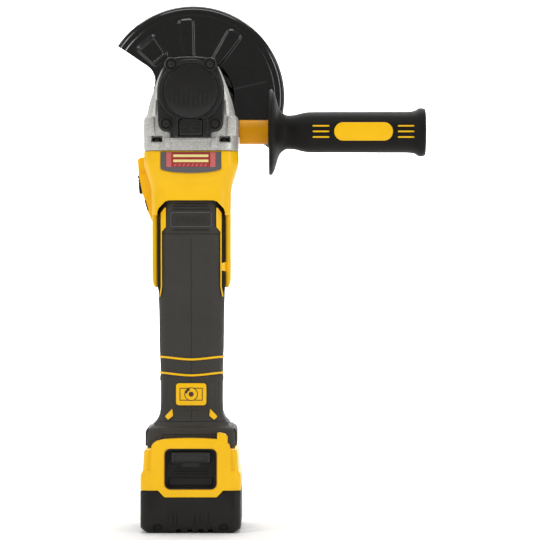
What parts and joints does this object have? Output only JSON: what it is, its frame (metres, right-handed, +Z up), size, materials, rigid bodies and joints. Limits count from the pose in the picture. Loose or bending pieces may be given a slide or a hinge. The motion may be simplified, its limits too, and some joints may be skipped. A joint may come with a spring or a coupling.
{
  "type": "cordless angle grinder",
  "caption": "Cordless angle grinder on its battery pack: gear head with spindle, wheel guard, slim grip, slide switch, side handle and slide-off battery.",
  "frame": {"origin": "centre line of the tool on the flat base of its battery pack", "axes": "+Z up the tool's long axis towards the head, +Y along the spindle towards the wheel, +X towards the side handle"},
  "size_m": [0.2355, 0.115, 0.4006],
  "materials": {
    "cast_alloy": "as-cast satin",
    "steel": "turned",
    "dark_steel": "black oxide",
    "gloss_black": "gloss powder coat",
    "black_plastic": "fine texture",
    "soft_black": "soft textured overmould",
    "grey_plastic": "matte",
    "yellow_plastic": "semi-gloss",
    "orange_plastic": "semi-gloss",
    "windings": "enamelled wire on laminations"
  },
  "bodies": {
    "body": {"gear_case": "cast_alloy", "gear_case_cover": "black_plastic", "cover_screw_1": "dark_steel", "cover_screw_2": "dark_steel", "cover_screw_3": "dark_steel", "cover_screw_4": "dark_steel", "case_screw_1": "dark_steel", "case_screw_2": "dark_steel", "case_screw_3": "dark_steel", "case_screw_4": "dark_steel", "spindle_nose": "cast_alloy", "nose_screw_1": "dark_steel", "nose_screw_2": "dark_steel", "nose_screw_3": "dark_steel", "nose_screw_4": "dark_steel", "spindle_bearing": "steel", "spindle_bush": "steel", "spindle_lock_spring": "steel", "motor_housing": "yellow_plastic", "label_panel": "grey_plastic", "stator": "windings", "motor_front_bearing": "steel", "motor_rear_bearing": "steel", "handle_left": "soft_black", "handle_right": "soft_black", "grip_insert_left": "yellow_plastic", "grip_insert_right": "yellow_plastic", "tail_wedge_left": "yellow_plastic", "tail_wedge_right": "yellow_plastic", "trim_ring_upper": "yellow_plastic", "trim_ring_lower": "yellow_plastic", "tail_label": "yellow_plastic", "switch_body": "grey_plastic", "controller_board": "grey_plastic", "battery_foot": "soft_black", "terminal_block": "grey_plastic"},
    "spindle": {"spindle": "steel", "crown_gear": "steel", "backing_flange": "dark_steel"},
    "clamp_nut": {"clamp_nut": "dark_steel"},
    "rotor": {"motor_shaft": "steel", "pinion_gear": "steel", "rotor": "dark_steel", "fan": "black_plastic"},
    "guard": {"wheel_guard": "gloss_black", "guard_collar": "steel"},
    "guard_lever": {"guard_lever": "steel"},
    "lock_button": {"spindle_lock_button": "black_plastic"},
    "switch": {"switch_knob": "black_plastic", "switch_link": "black_plastic"},
    "battery": {"battery_lower_case": "black_plastic", "battery_upper_case": "yellow_plastic", "battery_latch_spring": "steel", "cells_lower": "grey_plastic", "cells_upper": "grey_plastic"},
    "battery_latch": {"battery_latch": "black_plastic"},
    "side_handle": {"side_handle_grip": "soft_black", "side_handle_badge": "yellow_plastic", "side_handle_collar": "orange_plastic", "side_handle_stud": "steel"}
  },
  "joints": [
    {"name": "spindle_spin", "type": "hinge", "parent": "body", "child": "spindle", "pos_m": [0, 0, 0.33], "axis": [0, 1, 0], "continuous": true},
    {"name": "rotor_spin", "type": "hinge", "parent": "body", "child": "rotor", "pos_m": [0, -0.003, 0], "axis": [0, 0, 1], "continuous": true},
    {"name": "clamp_nut_off", "type": "slide", "parent": "spindle", "child": "clamp_nut", "axis": [0, 1, 0], "range_m": [0, 0.02]},
    {"name": "guard_turn", "type": "hinge", "parent": "body", "child": "guard", "pos_m": [0, 0, 0.33], "axis": [0, 1, 0], "range_deg": [-90, 90]},
    {"name": "guard_lever_swing", "type": "hinge", "parent": "guard", "child": "guard_lever", "pos_m": [-0.02277, 0, 0.31405], "axis": [0, 1, 0], "range_deg": [0, 12], "stiffness_Nm_per_rad": 0.3},
    {"name": "spindle_lock_press", "type": "slide", "parent": "body", "child": "lock_button", "axis": [0, 1, 0], "range_m": [0, 0.0035], "stiffness_N_per_m": 600, "deforming": ["spindle_lock_spring"]},
    {"name": "switch_slide", "type": "slide", "parent": "body", "child": "switch", "axis": [0, 0, -1], "range_m": [0, 0.008]},
    {"name": "battery_slide", "type": "slide", "parent": "body", "child": "battery", "axis": [0, -1, 0], "range_m": [0, 0.1]},
    {"name": "battery_latch_press", "type": "slide", "parent": "battery", "child": "battery_latch", "axis": [0, 0, -1], "range_m": [0, 0.004], "stiffness_N_per_m": 500, "deforming": ["battery_latch_spring"]},
    {"name": "side_handle_out", "type": "slide", "parent": "body", "child": "side_handle", "axis": [1, 0, 0], "range_m": [0, 0.03]}
  ],
  "couplings": [
    {"joint": "rotor_spin", "follows": "spindle_spin", "ratio": 4}
  ]
}
